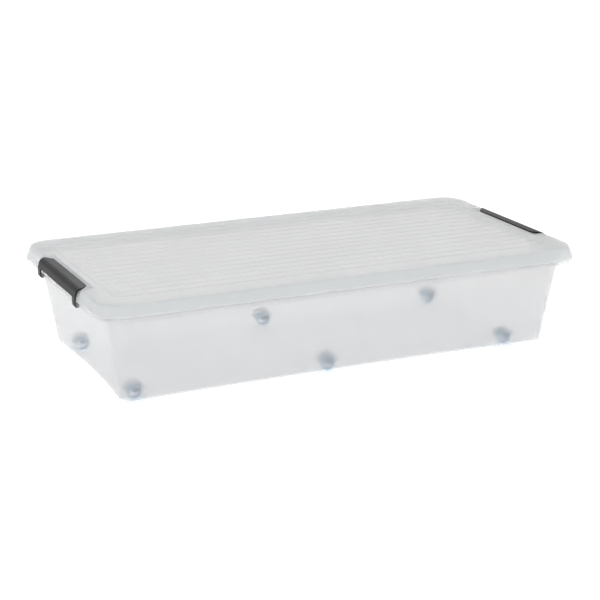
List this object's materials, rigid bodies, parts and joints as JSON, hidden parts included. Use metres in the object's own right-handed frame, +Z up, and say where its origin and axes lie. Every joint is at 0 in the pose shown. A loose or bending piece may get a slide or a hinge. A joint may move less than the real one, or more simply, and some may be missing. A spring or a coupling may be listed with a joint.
{
  "type": "under bed box",
  "caption": "Long shallow translucent storage box with drafted walls on small wheels, a lift-off lid with fine lines and a dark clip handle at each short end.",
  "frame": {"origin": "on the floor under the middle of the box", "axes": "+X along the box, +Y across it, +Z up; the front is the -Y side"},
  "size_m": [0.7792, 0.4, 0.1656],
  "materials": {
    "tub_plastic": "natural translucent polypropylene, satin inside and semi-gloss outside",
    "lid_plastic": "natural translucent polypropylene, fine satin",
    "clip_plastic": "near-black moulded plastic, fine grain",
    "wheel_plastic": "clear bluish plastic",
    "axle_plastic": "smooth plastic pin"
  },
  "bodies": {
    "tub": {"tub": "tub_plastic", "axle_front_left": "axle_plastic", "axle_front_middle": "axle_plastic", "axle_front_right": "axle_plastic", "axle_rear_left": "axle_plastic", "axle_rear_middle": "axle_plastic", "axle_rear_right": "axle_plastic"},
    "lid": {"lid": "lid_plastic"},
    "clip_left": {"clip_left": "clip_plastic"},
    "clip_right": {"clip_right": "clip_plastic"},
    "wheel_front_left": {"wheel_front_left": "wheel_plastic"},
    "wheel_front_middle": {"wheel_front_middle": "wheel_plastic"},
    "wheel_front_right": {"wheel_front_right": "wheel_plastic"},
    "wheel_rear_left": {"wheel_rear_left": "wheel_plastic"},
    "wheel_rear_middle": {"wheel_rear_middle": "wheel_plastic"},
    "wheel_rear_right": {"wheel_rear_right": "wheel_plastic"}
  },
  "joints": [
    {"name": "lid_lift", "type": "slide", "parent": "tub", "child": "lid", "axis": [0, 0, 1], "range_m": [0, 0.032]},
    {"name": "clip_left_hinge", "type": "hinge", "parent": "tub", "child": "clip_left", "pos_m": [-0.3858, 0, 0.1408], "axis": [0, -1, 0], "range_deg": [0, 150]},
    {"name": "clip_right_hinge", "type": "hinge", "parent": "tub", "child": "clip_right", "pos_m": [0.3858, 0, 0.1408], "axis": [0, 1, 0], "range_deg": [0, 150]},
    {"name": "wheel_front_left_roll", "type": "hinge", "parent": "tub", "child": "wheel_front_left", "pos_m": [-0.316, -0.123, 0.013], "axis": [0, 1, 0], "continuous": true},
    {"name": "wheel_front_middle_roll", "type": "hinge", "parent": "tub", "child": "wheel_front_middle", "pos_m": [-0.01, -0.123, 0.013], "axis": [0, 1, 0], "continuous": true},
    {"name": "wheel_front_right_roll", "type": "hinge", "parent": "tub", "child": "wheel_front_right", "pos_m": [0.296, -0.123, 0.013], "axis": [0, 1, 0], "continuous": true},
    {"name": "wheel_rear_left_roll", "type": "hinge", "parent": "tub", "child": "wheel_rear_left", "pos_m": [-0.316, 0.123, 0.013], "axis": [0, 1, 0], "continuous": true},
    {"name": "wheel_rear_middle_roll", "type": "hinge", "parent": "tub", "child": "wheel_rear_middle", "pos_m": [-0.01, 0.123, 0.013], "axis": [0, 1, 0], "continuous": true},
    {"name": "wheel_rear_right_roll", "type": "hinge", "parent": "tub", "child": "wheel_rear_right", "pos_m": [0.296, 0.123, 0.013], "axis": [0, 1, 0], "continuous": true}
  ],
  "couplings": [
    {"joint": "clip_left_hinge", "follows": "lid_lift", "rad_per_m": 81.81},
    {"joint": "clip_right_hinge", "follows": "lid_lift", "rad_per_m": 81.81}
  ]
}
